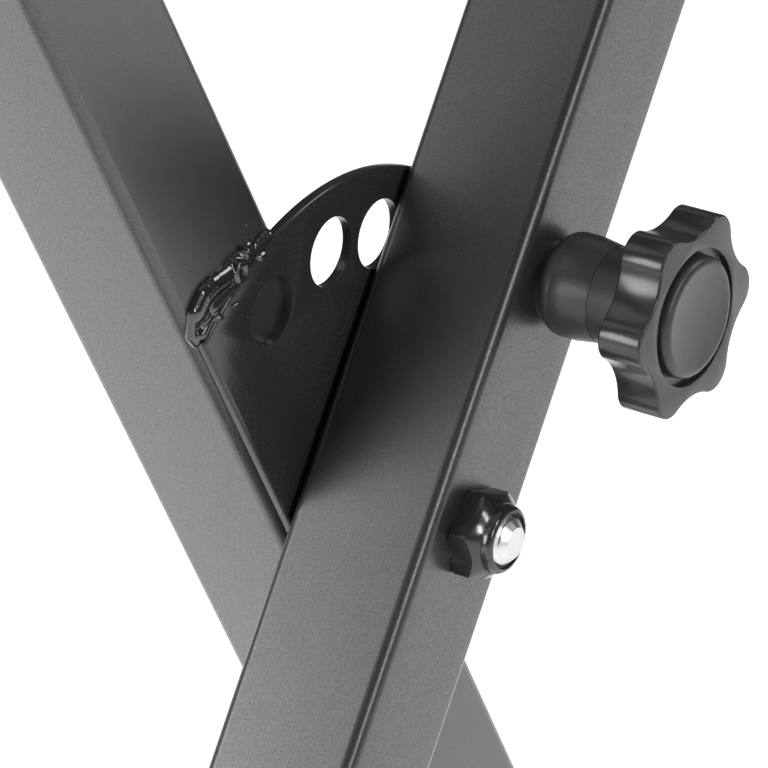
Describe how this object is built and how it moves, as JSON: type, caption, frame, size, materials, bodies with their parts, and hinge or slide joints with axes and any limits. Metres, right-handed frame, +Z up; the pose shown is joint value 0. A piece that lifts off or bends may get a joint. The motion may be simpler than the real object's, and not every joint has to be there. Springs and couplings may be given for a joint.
{
  "type": "folding keyboard stand",
  "caption": "Crossed square-tube keyboard stand that folds about one pivot bolt, held open by a pull knob's pin in a half-round hole plate, with arms, floor bars and rubber caps.",
  "frame": {"origin": "on the floor, under the pivot bolt and midway between the ends of the floor bars", "axes": "+Z up, X along the keyboard, Y along the pivot bolt with the knob on the -Y side"},
  "size_m": [0.5712, 0.44, 0.879],
  "materials": {
    "powder_coat_black": "semi-gloss powder coat",
    "gloss_black_plate": "gloss black enamel",
    "black_fastener": "black oxide",
    "zinc_steel": "bright zinc",
    "bare_steel": "turned steel",
    "rubber_black": "matte rubber",
    "knob_gloss_black": "gloss moulded plastic",
    "cap_matte_grey": "fine matte moulded plastic",
    "nylon_black": "smooth nylon",
    "brass_insert": "turned brass"
  },
  "bodies": {
    "front_leg": {"front_leg_tube": "powder_coat_black", "front_leg_flanges": "powder_coat_black", "front_flange_welds": "gloss_black_plate", "right_arm_tube": "powder_coat_black", "right_arm_caps": "rubber_black", "right_arm_grips": "rubber_black", "left_foot_tube": "powder_coat_black", "left_foot_caps": "rubber_black", "front_bar_screws": "zinc_steel", "front_bar_washers": "zinc_steel", "front_bar_nuts": "zinc_steel", "pivot_bolt": "zinc_steel", "pivot_head_washer": "zinc_steel", "pivot_spacer_washer": "nylon_black", "front_pivot_sleeve": "bare_steel", "pivot_nut": "black_fastener", "pivot_nut_insert": "nylon_black", "lock_barrel": "bare_steel", "lock_barrel_nut": "bare_steel", "lock_guide_bush": "bare_steel", "lock_shroud": "cap_matte_grey", "lock_spring": "bare_steel"},
    "rear_leg": {"rear_leg_tube": "powder_coat_black", "rear_leg_flanges": "powder_coat_black", "rear_flange_welds": "gloss_black_plate", "left_arm_tube": "powder_coat_black", "left_arm_caps": "rubber_black", "left_arm_grips": "rubber_black", "right_foot_tube": "powder_coat_black", "right_foot_caps": "rubber_black", "rear_bar_screws": "zinc_steel", "rear_bar_washers": "zinc_steel", "rear_bar_nuts": "zinc_steel", "lock_plate": "gloss_black_plate", "plate_weld_beads": "gloss_black_plate", "rear_pivot_sleeve": "bare_steel"},
    "lock_plunger": {"lock_pin": "zinc_steel", "knob_star": "knob_gloss_black", "knob_cap": "cap_matte_grey", "knob_insert": "brass_insert"}
  },
  "joints": [
    {"name": "fold", "type": "hinge", "parent": "front_leg", "child": "rear_leg", "pos_m": [0, 0, 0.4395], "axis": [0, -1, 0], "range_deg": [-59.5, 40]},
    {"name": "lock_slide", "type": "slide", "parent": "front_leg", "child": "lock_plunger", "axis": [0, 1, 0], "range_m": [0, 0.008], "deforming": ["lock_spring"]}
  ]
}
